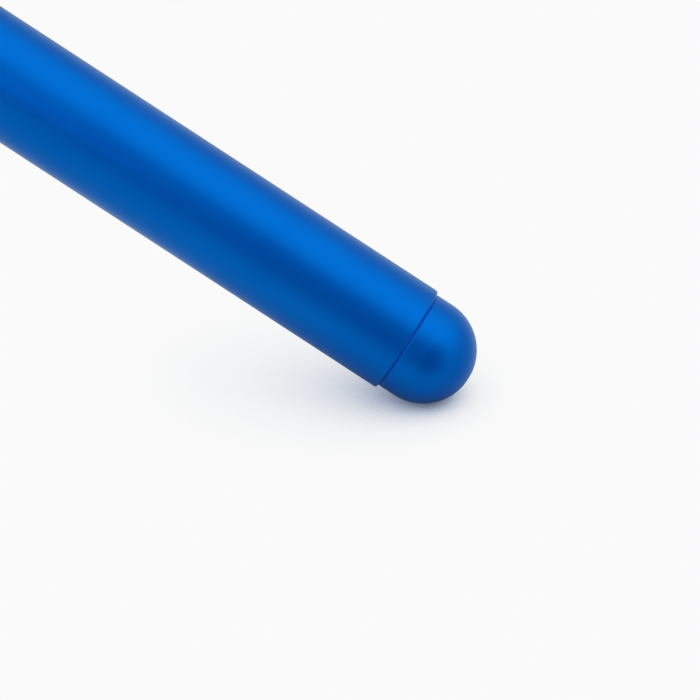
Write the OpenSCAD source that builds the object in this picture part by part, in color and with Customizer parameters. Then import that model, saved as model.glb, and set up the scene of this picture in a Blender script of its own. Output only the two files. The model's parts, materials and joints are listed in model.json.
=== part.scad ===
// Cordless 3D printing pen in a slim round barrel with a domed rear plug.
// The pen lies along X with its nozzle towards -X and its dome towards +X.
// Inside the modules, x is the distance behind the nozzle's tip.
// There, y and z are measured from the pen's axis.

/* [Barrel] */
// Overall length, from the nozzle's tip to the top of the dome
pen_len = 178; // [178:1:186]
// Outer diameter of the barrel
barrel_d = 18; // [18:0.1:18.4]
// Wall of the barrel's tubes
barrel_wall = 1; // [0.9:0.05:1]
// Radius of the barrel's rounded end edges
edge_r = 0.45; // [0.1:0.05:0.45]

/* [Rear plug] */
// Radius of the dome and its collar
plug_r = 8.45; // [8.2:0.05:8.7]
// Length of the collar that shows between the barrel and the dome
collar_len = 3; // [1:0.05:4]
// Radius of the filament inlet in the dome
inlet_r = 1.2; // [1:0.05:1.3]

/* [Controls] */
// Travel of each push button
button_travel = 0.35; // [0.2:0.05:0.4]
// Travel of the speed slider each way from its middle
slider_travel = 2; // [1:0.1:2]

/* [Hidden] */
$fn = 64;
gap = 0.03;

// Barrel stations, measured from the nozzle's tip
barrel_r = barrel_d / 2;
bore_r = barrel_r - barrel_wall;
fit_r = bore_r - gap;
barrel_start = 40;
mid_gap = 0.6;
rear_start = 84;
dome_x = pen_len - plug_r;
barrel_end = dome_x - collar_len;

// Hot end
shroud_end = 14;
cone_end = 39;
stem_r = 2.5;
liner_r = 1.5;
liner_bore = 1;
liner_end = 67.4;
thread_end = 20;
tail_r = 2.4;
sink_start = 28.1;
sink_end = 41;
sink_r = 7;
fin_r = 6.1;
fin_w = 0.8;
fin_pitch = 1.8;
shroud_bore = 4.35;
nose_tail = 46;
nose_wall = 1.5;

// Filament drive: the toothed feed screw lies under the filament, and the motor beside it
filament_r = 0.875;
screw_r = 3;
bite = 0.15;
screw_z = -(screw_r + filament_r - bite);
tooth_m = 0.3;
pinion_teeth = 9;
gear_teeth = 15;
gear_dist = tooth_m * (pinion_teeth + gear_teeth) / 2;
motor_dir = 10;
motor_y = gear_dist * cos(motor_dir);
motor_z = screw_z + gear_dist * sin(motor_dir);
motor_r = 3;
frame_start = 66;
frame_end = 90;
body_screw_x = 67.6;
board_screw_x = 87;
bush_r = 2;
motor_face = 84.2;
gearbox_len = 7;
can_len = 12;
motor_end = motor_face + gearbox_len + can_len;
shaft_r = 1;
gear_x = 80.3;
gear_w = 2;

// Planetary stage
planet_m = 0.15;
sun_teeth = 12;
planet_teeth = 9;
ring_teeth = 30;
planet_dist = planet_m * (sun_teeth + planet_teeth) / 2;
stage_x = 86.6;
stage_w = 1.6;

// Idler
roller_r = 1.7;
roller_x = 73;
roller_z = 0.45 + roller_r;
pivot_x = 81.6;
pivot_z = 3;
coil_r = 1.05;
spring_z = pivot_z + coil_r;

// Boards and controls
board_z = 4.9;
board_t = 0.6;
board_top = board_z + board_t;
board_y = 5.3;
screw_y = 3.6;
feed_x = 49.5;
retract_x = 58.5;
mode_x = 65.6;
led_x = 69.3;
slider_x = 75.6;
button_size = [7.6, 5.2];
mode_size = [3.6, 3.6];
stem_z = 6.3;
plate_x = [43, 82];
plate_w = 8.4;

// Battery, guide tube and charging socket
chassis_x = [105.2, 160];
cell_r = 4.2;
cell_x = [107, 149];
cell_z = -3;
guide_rise = 2.8;
bend_r = 28;
bend_angle = acos(1 - guide_rise / (2 * bend_r));
bend_len = 2 * bend_r * sin(bend_angle);
front_bend_x = frame_end + 0.3;
rear_bend_end = barrel_end + 0.3;
guide_end = barrel_end + 4.9;
usb_x = 155.1;
usb_size = [8.9, 3.2];
board_slot_x = 151;

// Spigot of the rear plug: its front, the two walls and the floor radius of its O-ring groove, and its bore
spigot_start = 160.6;
groove_x = [162.4, 163.7];
groove_r = 7.3;
spigot_bore = 6.4;
plug_chamfer = [0.3, 0.12];

// Colours
blue = "#0b57b8";
black = "#1b1c1f";
steel = "#b9bcc0";
brass = "#c9a24a";
ceramic = "#f1efe8";
clear_white = "#e9e9e4";
board_green = "#1f6b46";

// ---------- shared shapes ----------

// Extrudes a (y, z) outline along the pen from x0 to x1.
module prism(x0, x1) translate([x0, 0, 0]) rotate([90, 0, 90]) linear_extrude(x1 - x0) children();

// Solid of revolution about the pen's axis from [x, radius] points.
module turned(points) rotate([90, 0, 90]) rotate_extrude() polygon([for (p = points) [p[1], p[0]]]);

module rod(x0, x1, r) translate([x0, 0, 0]) rotate([0, 90, 0]) cylinder(h = x1 - x0, r = r);

module ring(x0, x1, outer, inner) difference() {
    rod(x0, x1, outer);
    rod(x0 - 1, x1 + 1, inner);
}

// Pin across the pen, along Y.
module cross_pin(x, z, y0, y1, r) translate([x, y0, z]) rotate([-90, 0, 0]) cylinder(h = y1 - y0, r = r);

module stadium(size, grow = 0) {
    long = size[0] + 2 * grow;
    wide = size[1] + 2 * grow;
    if (long > wide) square([long - wide, wide], center = true);
    for (side = [-1, 1]) translate([side * (long - wide) / 2, 0]) circle(d = wide);
}

// Upright stadium-shaped peg centred at x, from z0 to z1.
module peg(x, size, z0, z1, grow = 0) translate([x, 0, z0]) linear_extrude(z1 - z0) stadium(size, grow);

// [x, radius] points of a rounded edge from angle a0 to a1 about the centre (x, r).
function arc(x, r, radius, a0, a1, steps = 6) =
    [for (i = [0:steps]) let (a = a0 + (a1 - a0) * i / steps) [x + radius * cos(a), r + radius * sin(a)]];

// Outline of a straight involute gear; grow widens each tooth, for cutting an internal gear.
function gear_outline(m, teeth, add, ded, grow = 0, pressure = 25) =
    let (
        pitch_r = m * teeth / 2,
        base_r = pitch_r * cos(pressure),
        tip_r = pitch_r + add * m,
        root_r = pitch_r - ded * m,
        low_r = max(base_r, root_r),
        half = 90 / teeth + (grow - 0.05 * m) / pitch_r * 90 / PI + (tan(pressure) * 180 / PI - pressure),
        roll = function(r) let (p = acos(min(1, base_r / r))) tan(p) * 180 / PI - p,
        steps = 5,
        flank = [for (i = [0:steps]) let (r = low_r + (tip_r - low_r) * i / steps) [r, half - roll(r)]],
        foot = root_r < low_r ? [[root_r, half]] : [],
        side = concat(foot, flank)
    )
    [for (t = [0:teeth - 1]) each concat(
        [for (p = side) p[0] * [cos(360 * t / teeth - p[1]), sin(360 * t / teeth - p[1])]],
        [for (i = [len(side) - 1:-1:0]) let (p = side[i])
            p[0] * [cos(360 * t / teeth + p[1]), sin(360 * t / teeth + p[1])]])];

// Round tube or wire swept along a path; ref is any direction that the path never runs along.
function unit(v) = v / norm(v);
function along(path, i) = unit(path[min(i + 1, len(path) - 1)] - path[max(i - 1, 0)]);
module sweep(path, r, sides = 8, ref = [0, 0, 1]) {
    last = len(path) - 1;
    points = [for (i = [0:last])
        let (t = along(path, i), a = unit(cross(t, ref)), b = cross(t, a))
        for (k = [0:sides - 1]) path[i] + r * (cos(360 * k / sides) * a + sin(360 * k / sides) * b)];
    walls = [for (i = [0:last - 1], k = [0:sides - 1])
        let (a = i * sides + k, b = i * sides + (k + 1) % sides)
        each [[a, b + sides, b], [a, a + sides, b + sides]]];
    caps = [[for (k = [0:sides - 1]) k], [for (k = [sides - 1:-1:0]) last * sides + k]];
    polyhedron(points, concat(walls, caps));
}

// Smooth wire route through a few points, by Catmull-Rom interpolation.
function spline(p, steps = 5) = concat([for (i = [0:len(p) - 2], s = [0:steps - 1])
    let (
        a = p[max(i - 1, 0)], b = p[i], c = p[i + 1], d = p[min(i + 2, len(p) - 1)],
        t = s / steps
    )
    0.5 * (2 * b + (c - a) * t
        + (2 * a - 5 * b + 4 * c - d) * pow(t, 2)
        + (3 * b - a - 3 * c + d) * pow(t, 3))],
    [p[len(p) - 1]]);

// ---------- hot end ----------

module nozzle() color(brass) difference() {
    turned([[0, 0], [0, 0.6], [3.4, 2], [6, 2], [6, 2.9], [8, 2.9], [8, stem_r - gap], [13, stem_r - gap],
        [13, 0]]);
    turned([[-1, 0], [-1, 0.35], [1.2, 0.35], [2.2, liner_bore], [14, liner_bore], [14, 0]]);
}

module nozzle_shroud() color(ceramic) turned(concat(
    [[4.6, 2.15], [4.2, 2.35]],
    arc(4.8, 2.6, 0.6, 180, 115),
    [[9, 4.15], [shroud_end, 5.3], [shroud_end, shroud_bore], [16.5, shroud_bore], [16.5, 3.7], [8.4, 3.7],
        [8.2, 3.1], [5.8, 3.1], [5.8, 2.15]]));

module heater_sleeve() color(clear_white) difference() {
    rod(8.5, thread_end, 3.5);
    rod(8, 21, stem_r);
    for (side = [-1, 1]) translate([0, side * 3.5, 0]) rod(18, 21, 0.35);
    translate([0, 0, 3.6]) rod(11, 21, 0.45);
}

module thermistor() color("#8a5a34") translate([0, 0, 3.55]) difference() {
    rod(16.8, 19.4, 0.4);
    rod(18.6, 20, 0.2);
}

// Stainless tube with a threaded head in the heater, a thin neck and a plain tail in the heat sink.
module heat_break() color(steel) difference() {
    turned([[13.05, 0], [13.05, stem_r - gap], [thread_end, stem_r - gap], [thread_end, 1.6], [28, 1.6],
        [28, tail_r], [37.4, tail_r], [37.4, 0]]);
    rod(12, 31, liner_bore);
    rod(30, 39, liner_r + gap);
}

module insulation_sleeve() color("#c8b48a") difference() {
    rod(20.4, 27.4, 4.3);
    rod(20, 28, 1.65);
    translate([0, 0, 4.3]) rod(20, 28, 1.6);
}

module heat_sink() color("#8e959d") difference() {
    union() {
        rod(sink_start, sink_end, 3.3);
        for (i = [0:5]) translate([fin_pitch * i, 0, 0]) rod(sink_start, sink_start + fin_w, fin_r);
        rod(39.1, sink_end, sink_r - gap);
    }
    rod(sink_start - 1, sink_end + 1, tail_r + gap);
    translate([35, 0, 5.6]) cube([16, 3.2, 3.6], center = true);
}

// Two heater wires and a finer thermistor wire, run along the top of the heat sink to the board.
module heater_leads() color("#d7d4cc") {
    heater_r = 0.25;
    sensor_r = 0.17;
    for (side = [-1, 1])
        sweep(spline([[20.05, side * 0.5, 3.3], [22, side * 0.5, 3.4], [25, side * 0.6, 4],
            [28, side * 0.7, 4.5], [34, side * 0.7, 4.5], [40, side * 0.8, 4.4],
            [43, side * 1.8, 4.45], [46, side * 3.2, 4.62]], 3), heater_r, 6);
    sweep(spline([[19, 0, 3.55], [22, 0, 3.6], [25, 0, 4.1], [28, 0, 4.7], [34, 0, 4.8], [41, 0, 4.5],
        [44, 0, 4.55], [46.5, 0, 4.7]], 3), sensor_r, 6);
}

module liner_tube() color(clear_white) ring(31.1, liner_end, liner_r, liner_bore);

// ---------- nose ----------

function cone_r(x) = 5.3 + (barrel_r - 0.15 - 5.3) * sin(90 * (x - shroud_end) / (cone_end - shroud_end));

module nose_cone() color(black) difference() {
    steps = 14;
    xs = [for (i = [0:steps]) shroud_end + (cone_end - shroud_end) * i / steps];
    turned(concat(
        [for (x = xs) [x, cone_r(x)]],
        [[cone_end, fit_r], [nose_tail, fit_r], [nose_tail, sink_r], [cone_end, sink_r]],
        [for (i = [steps:-1:2]) [xs[i], cone_r(xs[i]) - nose_wall]],
        [[17, shroud_bore + 0.05 + gap], [shroud_end, shroud_bore + 0.05 + gap]]));
    for (a = [0:45:315]) rotate([a + 22.5, 0, 0]) peg(31, [10, 1.5], 5, 10);
    translate([43.2, -8, 4.4]) cube([4, 16, 5]);
}

module trim_ring() color("#c9ccd1") difference() {
    turned([[cone_end + 0.02, fit_r], [cone_end + 0.02, 8.75], [cone_end + 0.2, barrel_r],
        [barrel_start - 0.2, barrel_r], [barrel_start - 0.02, 8.75], [barrel_start - 0.02, fit_r]]);
    rod(cone_end - 1, barrel_start + 1, fit_r + gap);
}

// ---------- barrel ----------

// Tube with rounded outer edges.
module barrel_tube(x0, x1) turned(concat(
    [[x0, bore_r]],
    arc(x0 + edge_r, barrel_r - edge_r, edge_r, 180, 90),
    arc(x1 - edge_r, barrel_r - edge_r, edge_r, 90, 0),
    [[x1, bore_r]]));

module front_barrel() color(blue) difference() {
    barrel_tube(barrel_start, rear_start - mid_gap);
    peg((plate_x[0] + plate_x[1]) / 2, [plate_x[1] - plate_x[0], plate_w], 3, 12, 0.05);
    translate([body_screw_x, 0, -barrel_r]) {
        translate([0, 0, 0.2 - 1]) cylinder(h = 4, r = 0.9);
        translate([0, 0, -0.2]) cylinder(h = 1.05, r1 = 1.75, r2 = 0.9);
    }
}

module body_screw() color(steel) translate([body_screw_x, 0, -barrel_r]) difference() {
    union() {
        translate([0, 0, 0.15]) cylinder(h = 0.7, r1 = 1.35, r2 = 0.78);
        translate([0, 0, 0.15]) cylinder(h = 2.6, r = 0.78);
    }
    cylinder(h = 0.5, r = 0.5, $fn = 6);
}

module mid_ring() color("#c9ccd1") ring(rear_start - mid_gap + 0.02, rear_start - 0.02, 8.7, fit_r + gap);

module rear_barrel() color(blue) difference() {
    barrel_tube(rear_start, barrel_end);
    translate([usb_x, 3, 0]) rotate([-90, 0, 0]) linear_extrude(9) stadium(usb_size, 0.1);
}

// ---------- controls ----------

// Upright peg whose top follows a cylinder about the pen's axis.
module curved_peg(x, size, z0, top_r, grow = 0) intersection() {
    peg(x, size, z0, top_r + 1, grow);
    rod(x - size[0], x + size[0], top_r);
}

module control_plate() color(black) difference() {
    intersection() {
        peg((plate_x[0] + plate_x[1]) / 2, [plate_x[1] - plate_x[0], plate_w], 3, 12);
        ring(plate_x[0] - 1, plate_x[1] + 1, barrel_r, bore_r + gap);
    }
    for (x = [feed_x, retract_x]) peg(x, button_size, 3, 12, 0.12);
    peg(mode_x, mode_size, 3, 12, 0.12);
    peg(led_x, [1.4, 1.4], 3, 12, 0.02);
    peg(slider_x, [2 * slider_travel + 4.3, 2.2], 3, 12);
}

// Push button: a cap that stands proud of the plate, a flange that keeps it in and a stem for its switch.
module button(x, size, top_r) difference() {
    union() {
        curved_peg(x, size, 7, top_r);
        intersection() {
            peg(x, size, 6.75, 7.15, 0.45);
            translate([x, 0, 6.9]) cube([size[0] + 0.8, 2 * 3.1, 1], center = true);
        }
        peg(x, [1.4, 1.4], stem_z, 7);
    }
    translate([x, 0, top_r + 13.75]) sphere(r = 14);
}

module feed_button() color(steel) button(feed_x, button_size, barrel_r + 0.5);

module retract_button() color(steel) button(retract_x, button_size, barrel_r + 0.5);

module mode_button() color(steel) button(mode_x, mode_size, barrel_r + 0.35);

module speed_slider() color(steel) difference() {
    union() {
        intersection() {
            translate([slider_x, 0, 9.3]) cube([3.6, 4.6, 2.2], center = true);
            difference() {
                rod(slider_x - 2, slider_x + 2, barrel_r + 1);
                rod(slider_x - 3, slider_x + 3, barrel_r + 0.05);
            }
        }
        translate([slider_x, 0, 7.75]) cube([2, 1.8, 3.1], center = true);
    }
    for (i = [-1:1]) translate([slider_x + 0.9 * i, 0, barrel_r + 1.05]) cube([0.35, 6, 0.5], center = true);
}

module light_pipe() color("#dfe9f2") curved_peg(led_x, [1.4, 1.4], 6.4, barrel_r);

module main_board() color(board_green) difference() {
    translate([43.4, -board_y, board_z]) cube([60.6, 2 * board_y, board_t]);
    for (side = [-1, 1]) translate([board_screw_x, side * screw_y, board_z - 1]) cylinder(h = 3, r = 0.8);
}

// Low push switch with a well that the button's stem goes into.
module push_switch(x, w) color("#2b2d31") difference() {
    translate([x, 0, board_top + 0.4]) cube([w, 3.6, 0.8 - 2 * gap], center = true);
    translate([x, 0, stem_z - button_travel - 0.15]) cylinder(h = 2, r = 0.85);
}

module feed_switch() push_switch(feed_x, 3.6);

module retract_switch() push_switch(retract_x, 3.6);

module mode_switch() push_switch(mode_x, 3.2);

module slider_track() color("#2b2d31") difference() {
    translate([slider_x, 0, board_top + 0.65]) cube([9.6, 4.2, 1.3 - 2 * gap], center = true);
    translate([slider_x, 0, board_top + 1]) cube([2 * slider_travel + 2.4, 2.2, 1.4], center = true);
}

module status_led() color("#fdfbe8")
    translate([led_x, 0, board_top + 0.4]) cube([1, 1.6, 0.7], center = true);

module board_chips() color(black) {
    translate([84, 0, board_top + 0.55]) cube([3.4, 5, 1], center = true);
    translate([92, 1.4, board_top + 0.55]) cube([5, 5, 1], center = true);
    translate([92, -2.6, board_top + 0.45]) cube([3, 1.6, 0.8], center = true);
    translate([98.5, 0, board_top + 0.75]) cube([3.4, 3.4, 1.4], center = true);
}

module board_screws() color(steel)
for (side = [-1, 1]) translate([board_screw_x, side * screw_y, 0]) difference() {
    union() {
        translate([0, 0, board_top + gap]) cylinder(h = 0.7, r = 1.2);
        translate([0, 0, 2]) cylinder(h = board_top - 1.9, r = 0.68);
    }
    translate([0, 0, board_top + 0.35]) cylinder(h = 1, r = 0.55, $fn = 6);
}

// ---------- filament drive ----------

module drive_frame() color("#3a3d42") difference() {
    intersection() {
        rod(frame_start, frame_end, fit_r);
        translate([50, -10, -10]) cube([60, 20, 10 + board_z - 0.05]);
    }
    // filament path: liner socket, guide holes and guide tube socket
    rod(60, liner_end + 0.05, liner_r + gap);
    rod(60, 95, 1.05);
    rod(motor_face + 0.4, 95, liner_r + gap);
    // feed screw and its bushes
    translate([0, 0, screw_z]) {
        rod(frame_start + 0.5, frame_start + 2.8, bush_r);
        rod(frame_start + 2.8, 77.2, screw_r + 0.25);
        rod(77, 79.8, bush_r);
        rod(79.7, 83.4, 2.85);
        rod(65, 83.6, 1.2);
    }
    // idler pocket, open at the top
    translate([frame_start + 3.2, -2.7, 0.2]) cube([motor_face - frame_start - 3.2, 5.4, 8]);
    translate([0, 0.8, spring_z]) rod(motor_face - 1, motor_face + 2.2, 0.4);
    cross_pin(pivot_x, pivot_z, -4.4, 4.4, 0.75);
    // pinion chamber and motor seat
    translate([0, motor_y, motor_z]) {
        rod(79.7, 83.4, 2);
        rod(83, 85, 0.95);
        rod(motor_face, 95, motor_r + gap);
    }
    for (side = [-1, 1]) translate([board_screw_x, side * screw_y, 1.9]) cylinder(h = 5, r = 0.7);
    translate([body_screw_x, 0, -barrel_r]) cylinder(h = 2.9, r = 0.8);
}

// Steel roller with a coarse helical thread that bites the filament and screws it forward.
module feed_screw() color(steel) translate([0, 0, screw_z]) {
    turns = 4.5;
    pitch = 1.36;
    core_r = screw_r - 0.28;
    steps = 16;
    thread = [for (i = [0:steps * turns])
        let (a = 360 * i / steps)
        [70 + pitch * i / steps, core_r * cos(a), core_r * sin(a)]];
    ring(69.6, 76.5, core_r, shaft_r + 0.02);
    sweep(thread, 0.28, 4, [1, 0, 0]);
}

module feed_shaft() color(steel) translate([0, 0, screw_z]) rod(frame_start + 0.6, 83, shaft_r);

module feed_gear() color(brass) translate([0, 0, screw_z]) prism(gear_x, gear_x + gear_w) difference() {
    rotate(motor_dir) polygon(gear_outline(tooth_m, gear_teeth, 0.8, 1.1));
    circle(r = shaft_r + 0.02);
}

module bush(x0, x1) color("#b98146") translate([0, 0, screw_z]) ring(x0, x1, bush_r - gap, shaft_r + 0.03);

module front_bush() bush(frame_start + 0.55, frame_start + 2.75);

module rear_bush() bush(77.3, 79.6);

module idler_arm() color("#8e959d") difference() {
    union() {
        for (side = [-1, 1]) translate([0, side * 1.95, 0]) rotate([90, 0, 0])
            linear_extrude(0.8, center = true) {
                translate([roller_x, roller_z]) circle(r = 1.1);
                translate([pivot_x, pivot_z]) circle(r = 1.3);
                polygon([[roller_x, roller_z - 1.1], [pivot_x, pivot_z - 1.3], [pivot_x, pivot_z + 1.3],
                    [roller_x, roller_z + 1.1]]);
            }
        translate([75.6, -1.9, 2.7]) cube([2.6, 3.8, 1.1]);
    }
    cross_pin(roller_x, roller_z, -4, 4, 0.52);
    cross_pin(pivot_x, pivot_z, -4, 4, 0.76);
}

// Idler roller with a shallow groove that keeps the filament on the feed screw.
module idler_roller() color(steel) translate([roller_x, 0, roller_z]) rotate([-90, 0, 0]) rotate_extrude()
    polygon([[0.53, -1.45], [roller_r, -1.45], [roller_r, -0.9], [roller_r - 0.3, -0.4],
        [roller_r - 0.3, 0.4], [roller_r, 0.9], [roller_r, 1.45], [0.53, 1.45]]);

module roller_pin() color(steel) cross_pin(roller_x, roller_z, -2.4, 2.4, 0.5);

module pivot_pin() color(steel) cross_pin(pivot_x, pivot_z, -4.3, 4.3, 0.72);

// Torsion spring around the pivot pin. Its front leg presses on the arm and its rear leg sits in the frame.
module idler_spring() color(steel) {
    turns = 4;
    steps = 14;
    coil = [for (i = [0:steps * turns])
        let (a = 90 - 360 * i / steps)
        [pivot_x + coil_r * cos(a), -0.8 + 1.6 * i / (steps * turns), pivot_z + coil_r * sin(a)]];
    front_leg = [[76.3, -0.8, spring_z], [79, -0.8, spring_z]];
    rear_leg = [[motor_face, 0.8, spring_z], [motor_face + 2, 0.8, spring_z]];
    sweep(concat(front_leg, coil, rear_leg), 0.17, 6, [0, 1, 0]);
}

// ---------- gear motor ----------

module at_motor() translate([0, motor_y, motor_z]) children();

module motor_pinion() color(brass) at_motor() prism(gear_x, gear_x + gear_w) difference() {
    rotate(motor_dir + 180 + 180 / pinion_teeth) polygon(gear_outline(tooth_m, pinion_teeth, 0.8, 1.1));
    circle(r = 0.72);
}

// Output shaft with the planet carrier's disc and three pins.
module planet_carrier() color(steel) at_motor() {
    rod(80, stage_x - 0.9, 0.7);
    rod(stage_x - 1, stage_x - 0.3, 2.1);
    for (a = [0:120:240])
        rotate([a, 0, 0]) translate([0, planet_dist, 0]) rod(stage_x - 0.5, stage_x + stage_w, 0.3);
}

module planet_gear(index) color(brass) at_motor() rotate([120 * index, 0, 0]) translate([0, planet_dist, 0])
    prism(stage_x, stage_x + stage_w - 0.1) difference() {
        rotate(180 + 180 / planet_teeth) polygon(gear_outline(planet_m, planet_teeth, 0.8, 1.1));
        circle(r = 0.32);
    }

module planet_gear_1() planet_gear(0);

module planet_gear_2() planet_gear(1);

module planet_gear_3() planet_gear(2);

module sun_gear() color(brass) at_motor() prism(stage_x - 0.1, stage_x + stage_w + 0.6) difference() {
    polygon(gear_outline(planet_m, sun_teeth, 0.8, 1.1));
    circle(r = 0.42);
}

// Gearbox sleeve with the stage's internal ring gear.
module gearbox_housing() color("#a7abb0") at_motor() difference() {
    rod(motor_face, motor_face + gearbox_len, motor_r);
    rod(motor_face - 1, motor_face + 2, 0.76);
    rod(motor_face + 1, stage_x - 0.1, 2.5);
    prism(stage_x - 0.2, stage_x + stage_w + 0.1)
        polygon(gear_outline(planet_m, ring_teeth, 1.1, 0.65, 0.1 * planet_m));
    rod(stage_x + stage_w, motor_face + gearbox_len + 1, 2.5);
}

module motor_can() color("#c6c9cd") at_motor() difference() {
    rod(motor_face + gearbox_len + gap, motor_end, motor_r);
    rod(motor_face + gearbox_len + 1, motor_end + 1, 2.7);
    rod(motor_face + gearbox_len - 1, motor_face + gearbox_len + 2, 0.45);
}

module motor_rotor() color("#a2562c") at_motor() {
    rod(stage_x, motor_end + 0.5, 0.4);
    rod(motor_face + gearbox_len + 1.6, motor_end - 2.2, 2.3);
    rod(motor_end - 1.6, motor_end - 0.6, 1.1);
}

module motor_end_cap() color(black) at_motor() difference() {
    union() {
        rod(motor_end - 0.4, motor_end + 0.1, 2.7 - gap);
        rod(motor_end + gap, motor_end + 0.9, 2.9);
    }
    rod(motor_end - 1, motor_end + 2, 0.45);
}

module motor_leads() color("#b8352c") for (side = [-1, 1])
    sweep(spline([[motor_end + 1, motor_y + 1.4 * side, motor_z + 1.2],
        [motor_end + 1.3, motor_y + 1.3 * side, motor_z + 1.6],
        [motor_end + 1.2, motor_y + side, motor_z + 3.4],
        [102.6, 4 + 0.7 * side, 3.4], [100, 3.9 + 0.6 * side, board_z - 0.3]], 3), 0.25, 6);

// ---------- battery and charging ----------

// Lower carrier shell with end walls round the cell and rails for the charging board.
module chassis() color("#3a3d42") {
    outer_r = bore_r - 0.1;
    prism(chassis_x[0], chassis_x[1]) difference() {
        circle(r = outer_r);
        circle(r = outer_r - 0.6);
        translate([-9, -3.6]) square([18, 18]);
    }
    for (x = [chassis_x[0], cell_x[1] + 0.3]) prism(x, x + 0.8) difference() {
        circle(r = outer_r);
        translate([-9, -0.2]) square([18, 18]);
        translate([0, cell_z]) circle(r = 2);
    }
    for (side = [-1, 1]) translate([board_slot_x, side * 5.2 - 0.5, -5.4]) cube([8.8, 1, 2.9]);
}

module battery_cell() color("#4d7fb3") translate([0, 0, cell_z]) {
    turned([[cell_x[0] + 0.8, 0], [cell_x[0] + 0.8, 3.6], [cell_x[0] + 1.1, cell_r - 0.1],
        [cell_x[0] + 1.4, cell_r], [cell_x[1] - 0.4, cell_r], [cell_x[1], cell_r - 0.4], [cell_x[1], 0]]);
    rod(cell_x[0], cell_x[0] + 1, 1.6);
}

module battery_leads() color("#b8352c") {
    sweep(spline([[106.6, -1.2, -2.2], [106.5, -3, -0.8], [106.3, -4.6, 1.4], [104.4, -4.2, 3.8],
        [102, -3.6, board_z - 0.32]], 3), 0.25, 6);
    sweep(spline([[151.3, -4.4, -1.2], [148, -4.6, 2.4], [140, -4.7, 2.6], [112, -4.7, 2.6], [105.6, -5, 3.4],
        [102.6, -4.8, board_z - 0.32]], 4), 0.25, 6);
}

// Height of the guide tube's middle at x: flat at both ends, and raised over the cell by two opposite arcs.
function lift(u) = u < bend_len / 2
    ? bend_r - sqrt(bend_r * bend_r - max(0, u) * max(0, u))
    : guide_rise - bend_r + sqrt(bend_r * bend_r - pow(max(0, bend_len - u), 2));
function guide_z(x) = min(lift(x - front_bend_x), lift(rear_bend_end - x));

module guide_path(r, extra) {
    steps = 8;
    front = [for (i = [0:steps]) front_bend_x + bend_len * i / steps];
    rear = [for (i = [0:steps]) rear_bend_end - bend_len + bend_len * i / steps];
    xs = concat([motor_face + 0.5 - extra], front, rear, [guide_end + extra]);
    sweep([for (x = xs) [x, 0, guide_z(x)]], r, 12, [0, 1, 0]);
}

module guide_tube() color(clear_white) difference() {
    guide_path(liner_r, 0);
    guide_path(liner_bore, 1);
}

module charge_board() color(board_green) {
    translate([board_slot_x, -6.4, -2.45]) cube([8.9, 12.4, 0.6]);
    translate([153.6, -4.9, -1.9]) cube([3, 2.4, 0.85]);
}

// USB-C socket: a stadium-shaped steel shell, open to the side, with a tongue inside.
module usb_socket() color(steel) translate([usb_x, 0, 0]) rotate([-90, 0, 0]) {
    difference() {
        translate([0, 0, 1.7]) linear_extrude(6.6) stadium(usb_size);
        translate([0, 0, 2.3]) linear_extrude(7) stadium(usb_size, -0.3);
    }
    translate([-3.3, -0.35, 2]) cube([6.6, 0.7, 5]);
}

// ---------- rear plug ----------

module end_plug() color(blue) difference() {
    turned(concat(
        [[spigot_start, spigot_bore], [spigot_start, fit_r], [groove_x[0], fit_r], [groove_x[0], groove_r],
            [groove_x[1], groove_r], [groove_x[1], fit_r], [barrel_end, fit_r],
            [barrel_end, plug_r - plug_chamfer[1]], [barrel_end + plug_chamfer[0], plug_r]],
        arc(dome_x, 0, plug_r, 90, 0, 30),
        [[guide_end - 3, 0], [guide_end - 3, 5], [barrel_end, spigot_bore]]));
    rod(barrel_end, guide_end + 0.1, liner_r + gap);
    rod(barrel_end, pen_len + 1, inlet_r);
    translate([pen_len - 0.28, 0, 0]) rotate([0, 90, 0]) cylinder(h = 1, r1 = inlet_r, r2 = inlet_r + 1);
}

module plug_o_ring() color(black) rotate([90, 0, 90]) translate([0, 0, (groove_x[0] + groove_x[1]) / 2])
    rotate_extrude() translate([groove_r + 0.32, 0]) circle(r = 0.3);

// ---------- assembly ----------

module place() translate([-pen_len / 2, 0, barrel_r]) children();

place() {
    nozzle();
    nozzle_shroud();
    heater_sleeve();
    thermistor();
    heat_break();
    insulation_sleeve();
    heat_sink();
    heater_leads();
    liner_tube();
    nose_cone();
    trim_ring();
    front_barrel();
    body_screw();
    mid_ring();
    rear_barrel();
    control_plate();
    feed_button();
    retract_button();
    mode_button();
    speed_slider();
    light_pipe();
    main_board();
    feed_switch();
    retract_switch();
    mode_switch();
    slider_track();
    status_led();
    board_chips();
    board_screws();
    drive_frame();
    feed_screw();
    feed_shaft();
    feed_gear();
    front_bush();
    rear_bush();
    idler_arm();
    idler_roller();
    roller_pin();
    pivot_pin();
    idler_spring();
    motor_pinion();
    planet_carrier();
    planet_gear_1();
    planet_gear_2();
    planet_gear_3();
    sun_gear();
    gearbox_housing();
    motor_can();
    motor_rotor();
    motor_end_cap();
    motor_leads();
    chassis();
    battery_cell();
    battery_leads();
    guide_tube();
    charge_board();
    usb_socket();
    end_plug();
    plug_o_ring();
}
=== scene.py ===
"""Cordless 3D printing pen: materials, detailed pieces, studio and camera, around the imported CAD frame."""
import json
import math

import bmesh
import bpy
from mathutils import Matrix, Vector


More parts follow.
